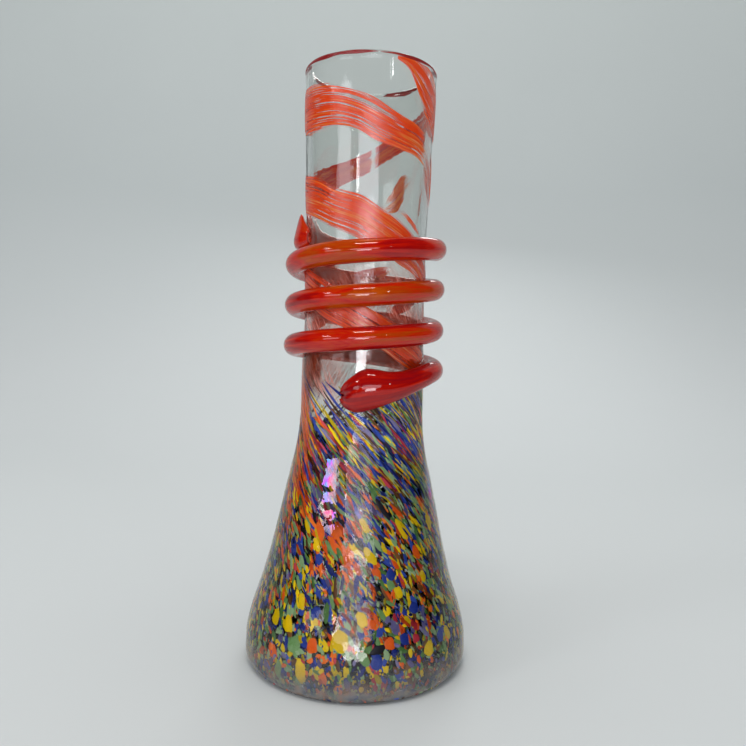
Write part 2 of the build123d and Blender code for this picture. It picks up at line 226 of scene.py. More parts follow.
class Nodes:
    """A short way to build a material. A value is a constant or another node's output."""

    def __init__(self, name):
        self.material = bpy.data.materials.new(name)
        self.material.use_nodes = True
        self.tree = self.material.node_tree
        self.tree.nodes.clear()
        self.out = self.tree.nodes.new("ShaderNodeOutputMaterial")

    def feed(self, socket, value):
        if isinstance(value, bpy.types.NodeSocket):
            self.tree.links.new(value, socket)
        else:
            socket.default_value = value

    def add(self, kind, sockets=(), **settings):
        """A node of a kind, with a value for each of some sockets."""
        node = self.tree.nodes.new("ShaderNode" + kind)
        for key, value in settings.items():
            setattr(node, key, value)
        for key, value in dict(sockets).items():
            self.feed(node.inputs[key], value)
        return node

    def finish(self, surface):
        self.feed(self.out.inputs["Surface"], surface)
        return self.material

    def principled(self, **sockets):
        """A Principled shader; an underscore stands for the space in a socket's name."""
        return self.add("BsdfPrincipled", {key.replace("_", " "): sockets[key] for key in sockets}).outputs[0]

    def clear(self, colour=(1, 1, 1, 1)):
        return self.add("BsdfTransparent", {"Color": colour}).outputs[0]

    def translucent(self, colour):
        return self.add("BsdfTranslucent", {"Color": colour}).outputs[0]

    def mix(self, share, first, second):
        return self.add("MixShader", {0: share, 1: first, 2: second}).outputs[0]

    def blend(self, share, first, second):
        sockets = {"Factor": share, "A": first, "B": second}
        return self.add("Mix", sockets, data_type="RGBA").outputs["Result"]

    def position(self):
        return self.add("TexCoord").outputs["Object"]

    def coordinate(self, vector, axis):
        return self.add("SeparateXYZ", {0: vector}).outputs[axis]

    def flow(self):
        """Place along and across a piece of drawn glass."""
        return self.add("UVMap", uv_map="flow").outputs["UV"]

    def tint(self):
        return self.add("Attribute", attribute_name="tint").outputs["Fac"]

    def noise(self, vector, scale, detail=3.0, roughness=0.55, distortion=0.0):
        sockets = {"Vector": vector, "Scale": scale, "Detail": detail, "Roughness": roughness}
        return self.add("TexNoise", {**sockets, "Distortion": distortion}).outputs["Fac"]

    def grain(self, flow, along, across, detail, roughness, distortion):
        """Noise drawn out along the flow of the glass."""
        return self.noise(self.stretched(flow, (along, across, 1)), 1.0, detail, roughness, distortion)

    def ramp(self, factor, *stops):
        """Colour ramp; each stop is (position, colour)."""
        node = self.add("ValToRGB", {"Fac": factor})
        elements = node.color_ramp.elements
        while len(elements) < len(stops):
            elements.new(0.5)
        for element, (position, colour) in zip(elements, stops):
            element.position = position
            element.color = (*colour, 1)
        return node.outputs["Color"]

    def remap(self, value, low, high, to_low, to_high):
        sockets = {"Value": value, "From Min": low, "From Max": high, "To Min": to_low, "To Max": to_high}
        return self.add("MapRange", sockets).outputs["Result"]

    def math(self, operation, first, second):
        return self.add("Math", {0: first, 1: second}, operation=operation).outputs[0]

    def plus(self, first, second):
        return self.math("ADD", first, second)

    def times(self, first, second):
        return self.math("MULTIPLY", first, second)

    def bump(self, height, strength, distance):
        sockets = {"Height": height, "Strength": strength, "Distance": distance}
        return self.add("Bump", sockets).outputs["Normal"]

    def stretched(self, vector, scale):
        return self.add("Mapping", {"Vector": vector, "Scale": scale}).outputs["Vector"]


def clear_glass():
    """Clear blown glass with faint waviness."""
    n = Nodes("clear_glass")
    waves = n.noise(n.stretched(n.position(), (1, 1, 0.3)), 90.0)
    return n.finish(n.principled(
        Base_Color=(0.88, 0.895, 0.875, 1), Roughness=0.02, IOR=1.46, Transmission_Weight=1.0,
        Normal=n.bump(waves, 0.35, 0.0006),
    ))


def skin_glass():
    """Thin glossy skin over the frit: hazy at the foot, with a play of colour where "tint" is high.

    Its shine is turned down between the bell and the trail, where it would hide the drawn streaks.
    """
    n = Nodes("skin_glass")
    where = n.position()
    height = n.coordinate(where, "Z")
    drawn = n.stretched(where, (1, 1, 0.55))
    play_colour = n.ramp(
        n.noise(drawn, 150.0, 3.0, 0.6, 0.8),
        (0.30, (0.10, 0.75, 1.0)), (0.42, (0.25, 0.30, 1.0)), (0.49, (0.65, 0.12, 1.0)),
        (0.56, (1.0, 0.08, 0.35)), (0.62, (1.0, 0.30, 0.45)), (0.72, (0.5, 1.0, 1.0)),
    )
    play = n.tint()
    relief = n.bump(n.noise(drawn, 125.0, 3.0, 0.6), 0.26, 0.0010)
    edge_on = n.add("Fresnel", {"IOR": 1.40, "Normal": relief}).outputs[0]
    dulled = n.math("MAXIMUM", n.remap(height, 0.074, 0.086, 1.0, 0.25),
                        n.remap(height, 0.099, 0.106, 0.25, 1.0))
    share = n.plus(n.times(edge_on, dulled), n.times(play, 0.36))
    silver = n.blend(play, (1.0, 0.97, 0.94, 1), play_colour)
    shine = n.add("BsdfGlossy", {"Color": silver, "Roughness": 0.03, "Normal": relief}).outputs[0]
    haze_colour = n.ramp(
        n.noise(where, 120.0, 3.0, 0.6),
        (0.35, (0.10, 0.13, 0.17)), (0.5, (0.24, 0.23, 0.22)), (0.6, (0.30, 0.21, 0.17)),
        (0.7, (0.20, 0.24, 0.15)),
    )
    haze = n.add("BsdfDiffuse", {"Color": haze_colour}).outputs[0]
    thick = n.times(n.remap(height, 0.003, 0.014, 0.62, 0.0),
                        n.remap(n.noise(where, 160.0, 2.0), 0.3, 0.65, 0.65, 1.3))
    return n.finish(n.mix(share, n.mix(thick, n.clear(), haze), shine))


def fibre_glass():
    """Hair-fine red-brown streaks in the clear glass between the turns of the trail."""
    n = Nodes("fibre_glass")
    flow = n.flow()
    hairs = n.grain(flow, 0.6, 17.0, 4.0, 0.65, 0.3)
    clouds = n.grain(flow, 0.30, 0.55, 2.0, 0.5, 0.6)
    colour = n.ramp(hairs, (0.38, (0.50, 0.03, 0.015)), (0.52, (0.80, 0.16, 0.09)),
                        (0.66, (0.95, 0.50, 0.42)))
    glass = n.principled(Base_Color=colour, Roughness=0.4, IOR=1.3, Normal=n.bump(hairs, 0.3, 0.0003))
    cover = n.times(n.remap(clouds, 0.36, 0.60, 0.05, 1.0), n.remap(hairs, 0.40, 0.60, 0.15, 0.70))
    return n.finish(n.mix(n.times(cover, n.tint()), n.clear(), glass))


def chip_glass(name, dark, main, light):
    """Coloured frit under the skin: tone changes from chip to chip and is marbled within each one."""
    n = Nodes(name)
    marble = n.noise(n.position(), 520.0, 4.0, 0.65, 0.6)
    tone = n.plus(n.times(n.tint(), 0.66), n.times(marble, 0.40))
    colour = n.ramp(tone, (0.18, dark), (0.48, main), (0.9, light))
    return n.finish(n.principled(
        Base_Color=colour, Roughness=0.38, IOR=1.3, Normal=n.bump(marble, 0.25, 0.0003)
    ))


def ribbon_glass(name, deep, main, pale, far_painted_colour, cover):
    """Orange glass drawn into streaks along the ribbon, thinning to clear between them.

    On the far half, which is seen through the vase, it is denser and takes its own far colour: painted light
    and shade, set for how that half looks when lit only through the glass.
    """
    n = Nodes(name)
    flow = n.flow()
    # Painted light and shade: behind picks out the far half, which gets its own colours and more cover.
    behind = n.remap(n.coordinate(n.position(), "Y"), 0.002, 0.012, 0.0, 1.0)
    streaks = n.grain(flow, 0.22, 3.0, 4.0, 0.62, 0.4)
    fine = n.grain(flow, 0.35, 13.0, 4.0, 0.65, 0.2)
    mixed = n.plus(n.times(streaks, 0.5), n.times(fine, 0.5))
    # The top stop, a pinkish white, is partly the glass's pale streaks and partly a painted highlight of its
    # luster. The far half's colours leave it out.
    front = n.ramp(mixed, (0.40, deep), (0.46, main), (0.53, main), (0.60, pale),
                       (0.67, (1.0, 0.55, 0.42)))
    back = n.ramp(mixed, (0.40, deep), (0.50, far_painted_colour), (0.64, pale))
    colour = n.blend(behind, front, back)
    edge = n.math("POWER", n.math("ABSOLUTE", n.coordinate(flow, "Y"), 0), 4)
    level = n.math("SUBTRACT", n.plus(fine, n.times(streaks, 0.6)), n.times(edge, 0.10))
    level = n.plus(level, n.times(n.math("SUBTRACT", n.tint(), 1.0), 0.45))
    level = n.plus(level, n.times(behind, 0.16))
    bar = 0.82 - cover * 0.26
    relief = n.bump(mixed, 0.6, 0.0005)
    glass = n.principled(Base_Color=colour, Roughness=0.6, IOR=1.2, Normal=relief, Coat_Weight=1.0,
                             Coat_Roughness=0.15, Coat_IOR=2.05, Coat_Normal=relief)
    body = n.mix(RIBBON_GLOW, glass, n.translucent(colour))
    return n.finish(n.mix(n.remap(level, bar, bar + 0.05, 0.10, 1.0), n.clear(), body))


def trail_glass():
    """Deep red-orange rod: a streaky core under a clear skin. "tint" turns it from deep red to orange-brown.

    The side that faces the neck is painted pinker: painted light, standing in for the light that reaches it
    through the clear glass.
    """
    n = Nodes("trail_glass")
    flow = n.flow()
    zones = n.grain(flow, 0.40, 0.9, 3.0, 0.6, 0.8)
    streaks = n.grain(flow, 0.35, 3.6, 4.0, 0.6, 1.2)
    tone = n.plus(n.times(zones, 0.72), n.times(streaks, 0.28))
    tone = n.plus(tone, n.times(n.tint(), 0.085))
    core = n.ramp(
        tone, (0.34, (0.30, 0.002, 0.006)), (0.42, (0.42, 0.003, 0.002)), (0.49, (0.58, 0.008, 0.001)),
        (0.55, (0.60, 0.030, 0.001)), (0.61, (0.48, 0.048, 0.001)), (0.69, (0.58, 0.09, 0.002)),
    )
    from_axis = n.stretched(n.position(), (1, 1, 0))
    normal = n.add("NewGeometry").outputs["Normal"]
    outward = n.add("VectorMath", {0: from_axis, 1: normal}, operation="DOT_PRODUCT").outputs["Value"]
    # Painted light: the side that faces the neck is blended towards a light pink.
    colour = n.blend(n.remap(outward, -0.004, -0.018, 0.0, 0.75), core, (1.0, 0.26, 0.18, 1))
    glass = n.principled(Base_Color=colour, Roughness=0.6, IOR=1.1, Coat_Weight=1.0, Coat_Roughness=0.01,
                             Coat_IOR=1.62, Coat_Normal=n.bump(zones, 0.05, 0.0006))
    body = n.mix(TRAIL_GLOW, glass, n.translucent(colour))
    return n.finish(n.mix(TRAIL_CLARITY, body, n.clear((1.0, 0.55, 0.45, 1))))


# ---- Clear vessel ----
WALL_STEPS = 150
TRUE_RADIUS, TRUE_HEIGHT = 15, 1    # the wobble leaves out the middle of the base and the ring it stands on


def vessel_profile():
    """Outline of the vessel as (radius, height), from the middle of the underside to the inside floor."""
    points = []
    for i in range(7):
        t = i / 6
        points.append((FOOT_INNER_RADIUS * t, PUNT_RISE * (1 - t * t)))
    points += [(FOOT_INNER_RADIUS + 4, 0), (FOOT_RADIUS - 1.5, 0), (FOOT_RADIUS, 0.0)]
    reach = wall_radius(HEEL_TOP) - FOOT_RADIUS
    for i in range(1, 6):
        a = i / 6 * pi / 2
        points.append((FOOT_RADIUS + reach * sin(a), HEEL_TOP * (1 - cos(a))))
    lip_z = HEIGHT - LIP_RADIUS
    for i in range(WALL_STEPS + 1):
        z = HEEL_TOP + (lip_z - HEEL_TOP) * i / WALL_STEPS
        points.append((wall_radius(z), z))
    lip_middle = wall_radius(lip_z) - LIP_RADIUS
    for i in range(1, 9):
        a = i / 9 * pi
        points.append((lip_middle + LIP_RADIUS * cos(a), lip_z + LIP_RADIUS * sin(a)))
    low = FLOOR_THICKNESS + FLOOR_CORNER
    for i in range(WALL_STEPS + 1):
        z = lip_z - (lip_z - low) * i / WALL_STEPS
        near_lip = unit((z - lip_z + LIP_BLEND) / LIP_BLEND)
        thick = wall_thickness(z) + (2 * LIP_RADIUS - wall_thickness(z)) * near_lip
        points.append((wall_radius(z) - thick, z))
    corner = wall_radius(low) - wall_thickness(low)
    for i in range(1, 7):
        a = i / 6 * pi / 2
        points.append((corner - FLOOR_CORNER * (1 - cos(a)), low - FLOOR_CORNER * sin(a)))
    for i in range(1, 6):
        points.append(((corner - FLOOR_CORNER) * (1 - i / 5.0), FLOOR_THICKNESS))
    return points


def build_vessel(material, segments=224):
    profile = vessel_profile()
    vertices = []
    for radius, z in profile[1:-1]:
        for j in range(segments):
            azimuth = 360 * j / segments
            stray = wobble(azimuth, z) if radius > TRUE_RADIUS and z > TRUE_HEIGHT else 0
            vertices.append(place(azimuth, radius + stray, z))
    faces = grid_faces(len(profile) - 2, segments, closed=True)
    bottom, top = len(vertices), len(vertices) + 1
    vertices += [place(0, 0, profile[0][1]), place(0, 0, profile[-1][1])]
    last = (len(profile) - 3) * segments
    for j in range(segments):
        k = (j + 1) % segments
        faces.append((bottom, k, j))
        faces.append((top, last + j, last + k))
    make_piece("vessel", vertices, faces, material, ["vessel_wall"])


# ---- Ribbons ----
# Azimuth, height and half width along each ribbon.
RIBBONS = {
    "ribbon_long": [
        (22, 218, 0.5), (34, 216.4, 1.9), (45, 213, 5.2), (56, 209.6, 8.2), (68, 206.8, 9.8),
        (82, 204, 9.6), (98, 202.6, 7.6), (120, 202.4, 5.4), (150, 199.6, 4.4),
        (180, 193, 4.2), (210, 187, 4.6), (235, 181.5, 6.2), (265, 176, 7.6), (290, 173, 7.8),
        (312, 170.5, 7.4), (330, 167.5, 7.2), (355, 164, 7.6), (373, 160, 7.6), (391, 156, 7.2),
        (408, 152.5, 6.8), (430, 147, 6), (465, 140, 4.6), (500, 134, 2.6), (520, 131, 0.8),
    ],
    "ribbon_upper": [
        (-112, 206, 0.8), (-98, 204.5, 6), (-72, 203.2, 8.2), (-44, 202.6, 7.9), (-27, 201.8, 6.6),
        (-10, 199.8, 6.2), (6, 196.8, 6.6), (19, 194.6, 6.2), (31, 193, 5.7), (45, 191.6, 5.3),
        (60, 188.8, 5.4), (76, 183.5, 6), (90, 177.5, 5), (104, 170, 2.8), (114, 164.5, 0.8),
    ],
    "ribbon_lower": [
        (-150, 151, 0.8), (-125, 148, 4.6), (-95, 144, 6.4), (-60, 139.5, 6.6), (-30, 134, 6.4),
        (0, 128, 5.4), (35, 120.5, 6.2), (70, 113.5, 5.6), (105, 108, 3.6), (135, 104, 0.8),
    ],
    "ribbon_shoulder": [
        (-130, 121, 0.8), (-112, 115.5, 6), (-95, 110.5, 9.5), (-78, 103, 12), (-64, 95, 12),
        (-52, 86, 8), (-44, 79, 4), (-38, 74.5, 0.8),
    ],
    "ribbon_back": [
        (150, 150, 0.8), (175, 145.5, 4.6), (205, 139.5, 6.4), (235, 132.5, 6.2), (262, 126.5, 3),
        (280, 122.5, 0.8),
    ],
    "feather_back": [
        (128, 184.5, 0.6), (135, 182.4, 4.2), (143, 179.8, 6.4), (151, 177.2, 5), (159, 175, 2.4),
        (166, 173, 0.6),
    ],
    "strand_right": [(24, 167.4, 0.4), (34, 166, 1), (44, 163.6, 1), (56, 160, 1), (66, 156.6, 0.4)],
}
RIBBON_GAPS = {"ribbon_long": [(176, 4)], "ribbon_upper": [(64, 9)]}   # azimuth and spread of thin places
# Red lines on the lip: azimuth and half width.
LIP_STREAKS = [
    [(-135, 0.1), (-105, 0.8), (-66, 0.7), (-40, 1), (-28, 0.6), (-12, 0.9), (6, 0.1)],
    [(8, 0.1), (22, 0.45), (40, 0.8), (60, 0.6), (80, 0.8), (104, 0.1)],
    [(124, 0.1), (140, 0.9), (156, 0.7), (168, 0.1)],
]


def build_ribbon(name, stations, material, across=21):
    """A thin domed band on the wall, feathered at its ends and ragged at its edges."""
    length = stations[-1][0] - stations[0][0]
    count = max(int(length / 1.4), 24)
    rows = smooth_stations(stations, count)
    vertices, uvs, covers = [], [], []
    run = 0.0
    for i, (azimuth, z, half) in enumerate(rows):
        half = max(half, 0.2)
        ragged = [ripple(i * 0.05, side * 7.3, z * 0.08) for side in (1, 2)]
        if i:
            step = on_wall(azimuth, z) - on_wall(rows[i - 1][0], rows[i - 1][1])
            run += step.length / MM / 10
        near_end = 1 if name == "ribbon_long" and azimuth < 90 else min(min(i, count - 1 - i) / 12, 1)
        thin = sum(bell_curve(azimuth, middle, spread) for middle, spread in RIBBON_GAPS.get(name, []))
        for j in range(across):
            v = 2 * j / (across - 1) - 1
            reach = half * (1 + 0.10 * ragged[0 if v < 0 else 1])
            lift = 0.02 + 0.34 * sqrt(max(1 - v * v, 0))
            vertices.append(on_wall(azimuth, z + v * reach, lift))
            uvs.append((run, v * (0.4 + 0.6 * half / 7)))
            covers.append(near_end - 0.9 * thin)
    faces = grid_faces(count, across, closed=False)
    make_piece(name, vertices, faces, material, [name], uvs, covers)


def build_lip_streaks(material, across=9):
    """Dark red lines that run along the lip."""
    top = HEIGHT - LIP_RADIUS
    vertices, faces, uvs = [], [], []
    for stations in LIP_STREAKS:
        rows = smooth_stations(stations, 110)
        start = len(vertices)
        for i, (azimuth, half) in enumerate(rows):
            middle = wall_radius(top) - LIP_RADIUS + wobble(azimuth, top)
            centre = top + 0.35 + 0.25 * ripple(i * 0.06, 4.1, 0.3)
            for j in range(across):
                share = 2 * j / (across - 1) - 1
                path = centre + share * half
                thick = LIP_RADIUS + 0.03 + 0.09 * sqrt(max(1 - share * share, 0))
                a = max(path - top, 0) / LIP_RADIUS
                height = min(path, top) + thick * sin(a)
                vertices.append(place(azimuth, middle + thick * cos(a), height))
                uvs.append((azimuth * 0.04, share * 0.4))
        faces += grid_faces(len(rows), across, False, start)
    tints = [1.0] * len(vertices)
    make_piece("lip_streak", vertices, faces, material, ["lip_streak"], uvs, tints)


# ---- Applied trail ----
# Azimuth, height, distance of the section's middle from the wall, half depth, half height, and droop: how far
# the fullest part hangs down.
TRAIL_GOB = [
    (-16.5, 102, 0.2, 0.9, 1.8, 0), (-13.5, 102.2, 0.7, 2.3, 4, 0), (-8.5, 102.7, 1.2, 3.6, 6, 0),
    (-2, 103.6, 1.7, 4.3, 7.2, 0), (5, 104.5, 2, 4.6, 7.4, 0), (12, 104.9, 2.4, 4.6, 6.8, 0),
    (22, 105.4, 2.9, 4.4, 5.6, 0), (35, 106.6, 3.3, 4.2, 4.7, 0), (50, 108.4, 3.5, 4.1, 4.15, 0),
]
TRAIL_TIP = [
    (1195, 156.9, 3.3, 3.8, 3.7, 0), (1225, 157.9, 2.9, 3.3, 3.1, 0), (1260, 158.6, 2.6, 2.9, 2.6, 0),
    (1290, 159.2, 2.4, 2.7, 2.5, 0), (1312, 160, 2.3, 2.7, 3.2, 0.5), (1330, 160.8, 2.2, 2.9, 4.9, 1.7),
    (1345, 161.3, 2, 3, 6.6, 3), (1355, 161, 1.7, 2.8, 6.4, 3), (1364, 159.6, 1.3, 2.2, 5, 2),
    (1371, 158.5, 0.6, 1.5, 3.6, 0.8), (1375, 158, 0.2, 0.8, 1.8, 0),
]
TRAIL_FIRST, TRAIL_LAST, TRAIL_STEP = 67.5, 1170.0, 22.5
# How orange the trail is along its length, from -1 for deep red to 1 for orange-brown, by azimuth.
TRAIL_WARMTH = [
    (-20, -1.2), (20, -1), (90, -0.3), (270, 0), (330, -0.3), (350, -0.6), (450, -0.3), (600, 0.2),
    (660, -0.1), (688, 0.1), (696, 0.8), (750, 0.9), (790, 0.2), (860, 0.2), (985, 0.2), (1010, 0.9),
    (1086, 1), (1094, -0.1), (1150, -0.1), (1240, 0.2), (1300, -0.1), (1375, -0.3),
]


def trail_stations():
    off_wall = TRAIL_RADIUS - TRAIL_SINK
    count = round((TRAIL_LAST - TRAIL_FIRST) / TRAIL_STEP)
    regular = []
    for i in range(count + 1):
        azimuth = TRAIL_FIRST + i * TRAIL_STEP
        z = TRAIL_LEVEL_Z + TRAIL_PITCH * (azimuth - 270) / 360
        regular.append((azimuth, z, off_wall, TRAIL_RADIUS, TRAIL_RADIUS, 0))
    return TRAIL_GOB + regular + TRAIL_TIP


def torn(azimuth, around):
    """How far, in degrees, the torn start of the gob is pulled back at an angle round its section."""
    near = unit((-4 - azimuth) / 10)
    ragged = ripple(3.2 * sin(around), 2.4 * cos(around), 0.7)
    teeth = ripple(9.0 * sin(around), 0.3, 5.1)
    return near * (4.5 * ragged + 6.0 * max(teeth, -0.12))


def build_trail(material, around=32, count=840):
    rows = smooth_stations(trail_stations(), count)
    vertices, uvs, tints = [], [], []
    for azimuth, z, off_wall, depth, height, droop in rows:
        warmth = value_at(TRAIL_WARMTH, azimuth)
        swell = 1 + 0.035 * ripple(azimuth * 0.021, 3.1, 0.4)
        sway = 0.25 * ripple(azimuth * 0.013, 9.7, 1.1)
        droop = max(droop, 0)
        for j in range(around):
            a = 2 * pi * j / around
            share = sin(a)
            narrowed = 1 - 0.13 * droop * max(share, 0)
            out = max(off_wall + depth * swell * cos(a) * narrowed, -0.35)
            up = height * swell * share - droop * cos(a) ** 2
            turned = azimuth + torn(azimuth, a)
            section = on_wall(turned, z + up, out) - on_wall(turned, z, 0)
            vertices.append(on_wall(turned, z + sway, 0) + section)
            uvs.append((azimuth * radians(1) * 2.6, 3 * abs(2 * j / around - 1)))
            tints.append(warmth)
    faces = grid_faces(count, around, closed=True)
    faces.append(tuple(range(around)))
    faces.append(tuple(reversed(range((count - 1) * around, count * around))))
    make_piece("trail", vertices, faces, material, ["wrapped_trail"], uvs, tints)


# ---- Frit chips ----
CHIP_COUNT, CHIP_SEED = 1500, 11
CHIP_GAP = 0.28
CHIP_LOW, CHIP_HIGH = 3.2, 121.0
GOLDEN_1, GOLDEN_2 = 0.7548776662466927, 0.5698402909980532   # steps that spread points evenly
CHIP_COLOURS = [
    ("cobalt", 0.21), ("sage", 0.21), ("yellow", 0.16), ("orange", 0.13), ("black", 0.10), ("lilac", 0.07),
    ("crimson", 0.05), ("amber", 0.07),
]


def drawn_out(z):
    """How far the glass has been drawn out, from 0 at the foot to 1 at the top of the bell."""
    return unit((z - 10) / 92)


def chip_stretch(z):
    """A chip's length over its width."""
    return 1.25 * 6.4 ** drawn_out(z)


def chip_lean(z):
    """How far the chips lean back from the upright."""
    return radians(14 + 33 * drawn_out(z) ** 0.8)


def chip_size(z):
    return 2.15 - 0.5 * drawn_out(z)


def leaned(across, up, lean):
    """From across and up the wall to along and aside of a lean, and back."""
    return -across * sin(lean) + up * cos(lean), across * cos(lean) + up * sin(lean)


def top_sway(azimuth):
    """Rise and fall of the top of the frit round the bell."""
    return 7 * cos(radians(azimuth - 50))


def chip_chance(azimuth, z):
    """Share of the chips that are there: all of them on the bell, none on the neck."""
    top = 100 + top_sway(azimuth)
    fade = unit((z - top + 20) / 20)
    window = bell_curve(azimuth, -24, 17) * bell_curve(z, 94, 13)
    return (1 - fade) * (1 - 0.95 * window) * (1 - 0.35 * unit((z - 76) / 20))


def scatter_chips():
    rng = random.Random(CHIP_SEED)
    seeds = []
    for i in range(CHIP_COUNT):
        share = (i * GOLDEN_2) % 1.0
        z = CHIP_LOW + (CHIP_HIGH - CHIP_LOW) * share**1.12
        z = min(max(z + rng.uniform(-1.6, 1.6), CHIP_LOW), CHIP_HIGH)
        azimuth = 360 * ((i * GOLDEN_1) % 1.0) + rng.uniform(-4.0, 4.0)
        weight = chip_size(z) * (0.55 + 1.1 * rng.random() ** 2.2)
        seeds.append(((azimuth + 180) % 360 - 180, z, weight))
    return sorted(seeds, key=lambda seed: seed[1])


def local_offset(seed, other):
    """How far one chip is from another, along and aside of the lean, as if neither were drawn out."""
    azimuth, z, _ = seed
    turn = (other[0] - azimuth + 180) % 360 - 180
    across = radians(turn) * wall_radius(0.5 * (z + other[1]))
    up = (other[1] - z) * hypot(1, wall_slope(z))
    lean, stretch = chip_lean(z), sqrt(chip_stretch(z))
    along, aside = leaned(across, up, lean)
    return along / stretch, aside * stretch


def clip(outline, normal, reach):
    kept = []
    for i, end in enumerate(outline):
        start = outline[i - 1]
        from_start = start[0] * normal[0] + start[1] * normal[1] - reach
        from_end = end[0] * normal[0] + end[1] * normal[1] - reach
        if (from_start > 0) != (from_end > 0):
            t = from_start / (from_start - from_end)
            kept.append((start[0] + t * (end[0] - start[0]), start[1] + t * (end[1] - start[1])))
        if from_end <= 0:
            kept.append(end)
    return kept


def chip_outline(seeds, index):
    """Corners of a chip: an octagon cut back half way to each neighbour."""
    seed = seeds[index]
    reach = 2.2 * chip_size(seed[1])
    turns = [a * pi / 4 for a in range(8)]
    outline = [(reach * cos(turn), reach * sin(turn)) for turn in turns]
    window = 3.3 * reach * sqrt(chip_stretch(seed[1]))
    for step in (-1, 1):
        other = index + step
        while 0 <= other < len(seeds) and abs(seeds[other][1] - seed[1]) < window:
            along, aside = local_offset(seed, seeds[other])
            distance = hypot(along, aside)
            if 1e-6 < distance < 2.5 * reach:
                shift = (seed[2] ** 2 - seeds[other][2] ** 2) / (2 * distance)
                limit = 0.5 * distance + shift - 0.5 * CHIP_GAP
                outline = clip(outline, (along / distance, aside / distance), limit)
                if len(outline) < 3:
                    return []
            other += step
    lean, stretch = chip_lean(seed[1]), sqrt(chip_stretch(seed[1]))
    return [leaned(along * stretch, aside / stretch, lean) for along, aside in outline]


def outline_area(corners):
    total = 0
    for i, (x, y) in enumerate(corners):
        total += corners[i - 1][0] * y - x * corners[i - 1][1]
    return 0.5 * abs(total)


def pick(shares, draw):
    """The name that a draw from 0 to 1 falls on."""
    total = sum(share for _, share in shares)
    for name, share in shares:
        draw -= share / total
        if draw <= 0:
            return name
    return shares[-1][0]


def chip_colour(azimuth, z, draw):
    """Colour of a CAD chip: an even mix with a warm part on the left of the shoulder."""
    warm = exp(-(((azimuth + 62) / 34) ** 2) - ((z - 82) / 26) ** 2)
    gain = {"orange": 4 * warm, "crimson": 4 * warm}
    return pick([(name, share * (1 + gain.get(name, 0))) for name, share in CHIP_COLOURS], draw)


def rounded(corners, points=18):
    """A chip's outline with its corners melted round, as evenly spaced points."""
    for _ in range(2):
        cut = []
        for i, (x, y) in enumerate(corners):
            px, py = corners[i - 1]
            cut.append((0.75 * px + 0.25 * x, 0.75 * py + 0.25 * y))
            cut.append((0.25 * px + 0.75 * x, 0.25 * py + 0.75 * y))
        corners = cut
    sides = [dist(corners[i - 1], corners[i]) for i in range(len(corners))]
    total = sum(sides)
    ring, i, gone = [], 0, 0.0
    for k in range(points):
        target = total * k / points
        while gone + sides[i] < target:
            gone += sides[i]
            i += 1
        t = (target - gone) / max(sides[i], 1e-9)
        (x0, y0), (x1, y1) = corners[i - 1], corners[i]
        ring.append((x0 + t * (x1 - x0), y0 + t * (y1 - y0)))
    return ring


DOME = [(1.0, -0.3), (0.88, 0.5), (0.55, 0.92)]   # ring scale and share of the chip's height

# The largest chips near the front: colour, azimuth, height, half length and half width.
LARGE_CHIPS = [
    ("yellow", -6.5, 21.2, 4.6, 3.9), ("yellow", -30.5, 31.4, 3.2, 2), ("yellow", -46, 23.8, 3.2, 2.4),
    ("yellow", -36, 23.3, 3.7, 2.4), ("sage", -30.3, 17.6, 3.5, 3), ("orange", -20.2, 18.7, 3.3, 2.4),
    ("yellow", -25, 9.9, 4.4, 3), ("sage", -38, 8.1, 3.8, 2.1), ("yellow", 8.5, 47.9, 4.3, 2.1),
    ("cobalt", 21.2, 41.6, 2.3, 2.3), ("orange", 13, 42.6, 2, 1.4), ("yellow", 44.3, 39.1, 2.3, 2),
    ("sage", 20.7, 38.3, 2.4, 1.7), ("yellow", 25.4, 35.8, 2.7, 1.9), ("cobalt", -21, 28.9, 2.2, 2.2),
    ("yellow", -20.2, 26.1, 1.6, 1.3), ("yellow", 4, 28, 3, 2.6), ("orange", 9.3, 26.6, 2.3, 1.9),
    ("orange", 17.8, 20.3, 2.6, 2.4), ("cobalt", 11.3, 15, 3, 2.9), ("sage", 5.3, 16.2, 3.4, 2.2),
    ("black", 12, 18.8, 2, 3.4), ("yellow", 55.8, 18.4, 3.2, 2.2), ("cobalt", 49.4, 18.9, 2.7, 2.6),
    ("cobalt", 25.9, 21.1, 2.4, 2.3), ("crimson", 32.6, 20.6, 1.9, 1.8), ("yellow", 39.7, 16.2, 2.8, 3.4),
    ("yellow", 4.7, 58, 3.4, 1.6), ("black", 17.8, 63.2, 4.8, 1.5), ("yellow", 30.8, 55.8, 4.8, 1.4),
    ("yellow", 60, 56.4, 4.4, 1.5), ("orange", 41.2, 47.6, 3.6, 1.9), ("yellow", -26.2, 50.2, 3.2, 1.4),
    ("yellow", -35.7, 55.6, 3.6, 1.1), ("cobalt", -23.4, 45.9, 2.6, 1.7), ("orange", -25, 55, 4, 2),
    ("orange", -14, 55.5, 3.4, 2.4), ("cobalt", -44, 47, 2.8, 1.6), ("sage", -36, 44, 2.6, 1.4),
    ("sage", 13, 52, 3.4, 1.3), ("cobalt", 34, 30, 2.6, 2.3), ("black", 2, 52.5, 3, 1.1),
]

LARGE_SEED, TINT_SEED = 31, 5

FINE_COUNT, FINE_SEED = 12500, 23
FINE_LOW, FINE_HIGH = 1.6, 119.0
FINE_COLOURS = [
    ("cobalt", 0.21), ("sage", 0.29), ("yellow", 0.17), ("orange", 0.11), ("black", 0.07), ("lilac", 0.05),
    ("crimson", 0.03), ("amber", 0.07),
]


def centre_of(ring):
    return sum(x for x, _ in ring) / len(ring), sum(y for _, y in ring) / len(ring)


def shrunk(ring, share):
    """A ring drawn in towards its middle."""
    cx, cy = centre_of(ring)
    return [(cx + (x - cx) * share, cy + (y - cy) * share) for x, y in ring]


